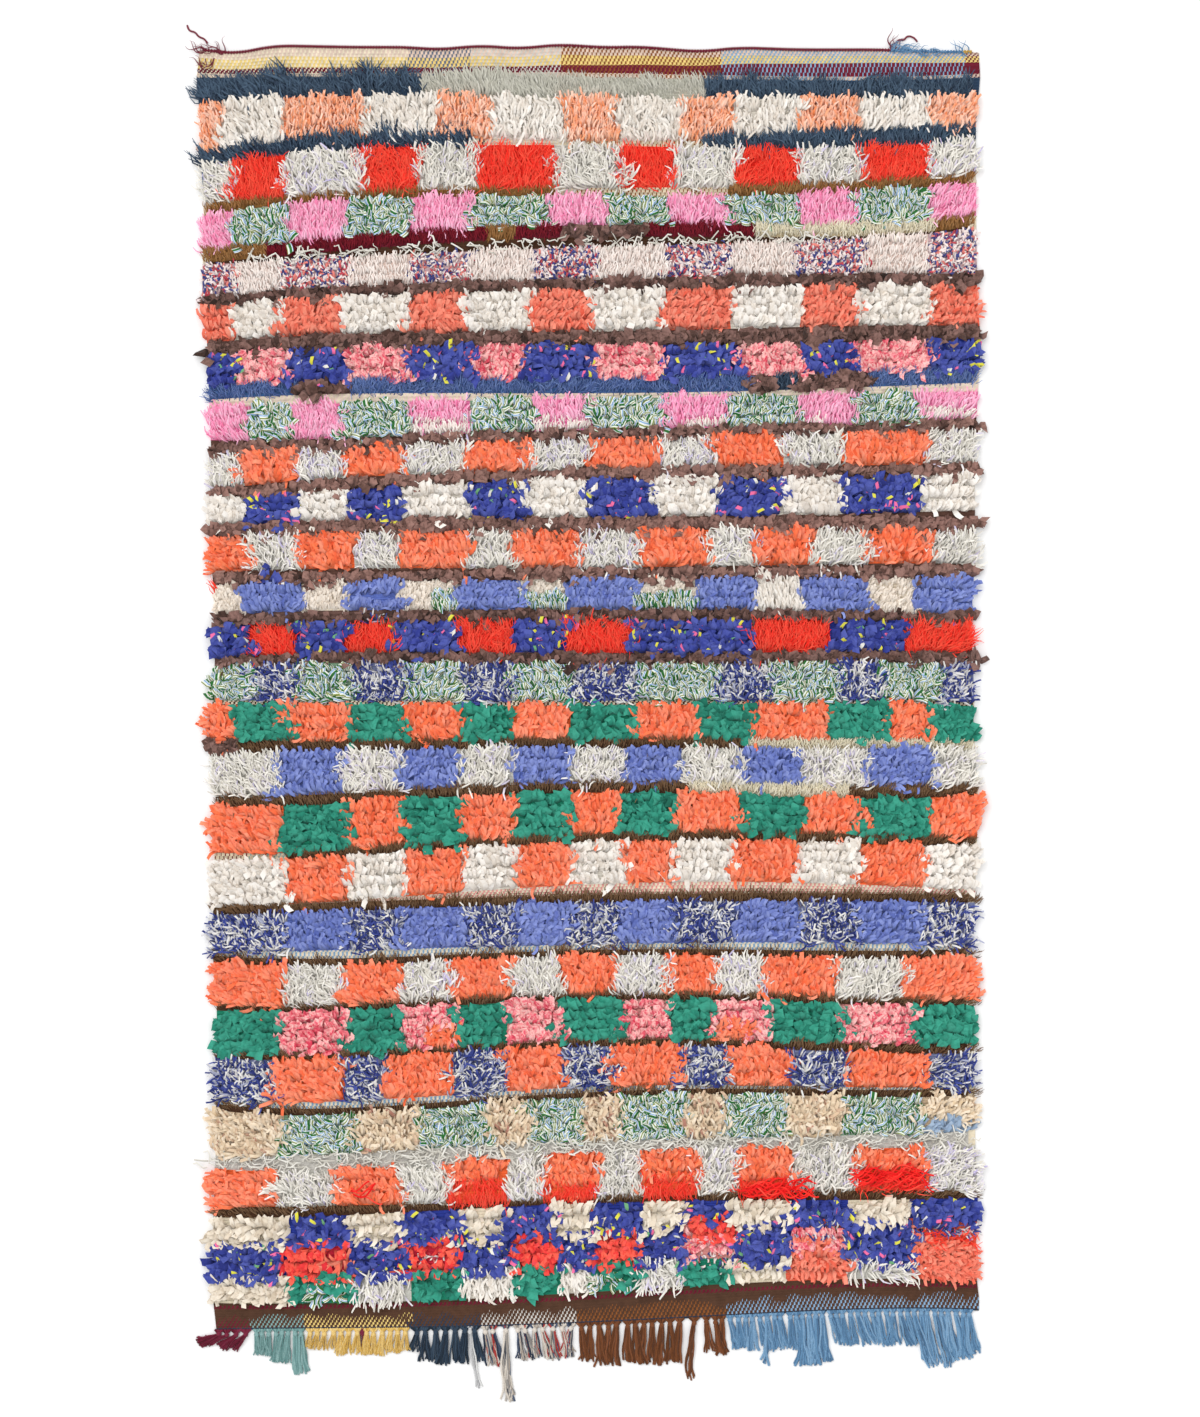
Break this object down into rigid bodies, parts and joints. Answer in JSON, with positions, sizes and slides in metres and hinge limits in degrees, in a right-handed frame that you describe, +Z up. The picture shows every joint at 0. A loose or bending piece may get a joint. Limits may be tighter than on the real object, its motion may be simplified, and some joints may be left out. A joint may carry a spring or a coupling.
{
  "type": "boucherouite rug",
  "caption": "Hand-knotted rag-pile rug lying flat, with chequered bands of cut cloth pile, flat-woven ends and a knotted warp fringe along the last edge.",
  "frame": {"origin": "on the floor, under the middle of the box round the cloth, its starting cord and its fringe", "axes": "+X across the cloth, +Y along it towards the starting cord and away from the fringe, +Z up out of the pile"},
  "size_m": [1.5456, 2.6818, 0.0305],
  "materials": {
    "rag_pile": "cut cotton and jersey rags, matt",
    "twined_wool": "twined wool, matt",
    "warp_yarn": "plied wool and cotton yarn, matt",
    "loose_wool": "single wool yarn, matt"
  },
  "bodies": {
    "root": {"rug_body": "rag_pile", "starting_cord": "twined_wool", "fringe": "warp_yarn", "corner_tail_left": "loose_wool", "corner_tail_right": "loose_wool"}
  },
  "joints": []
}
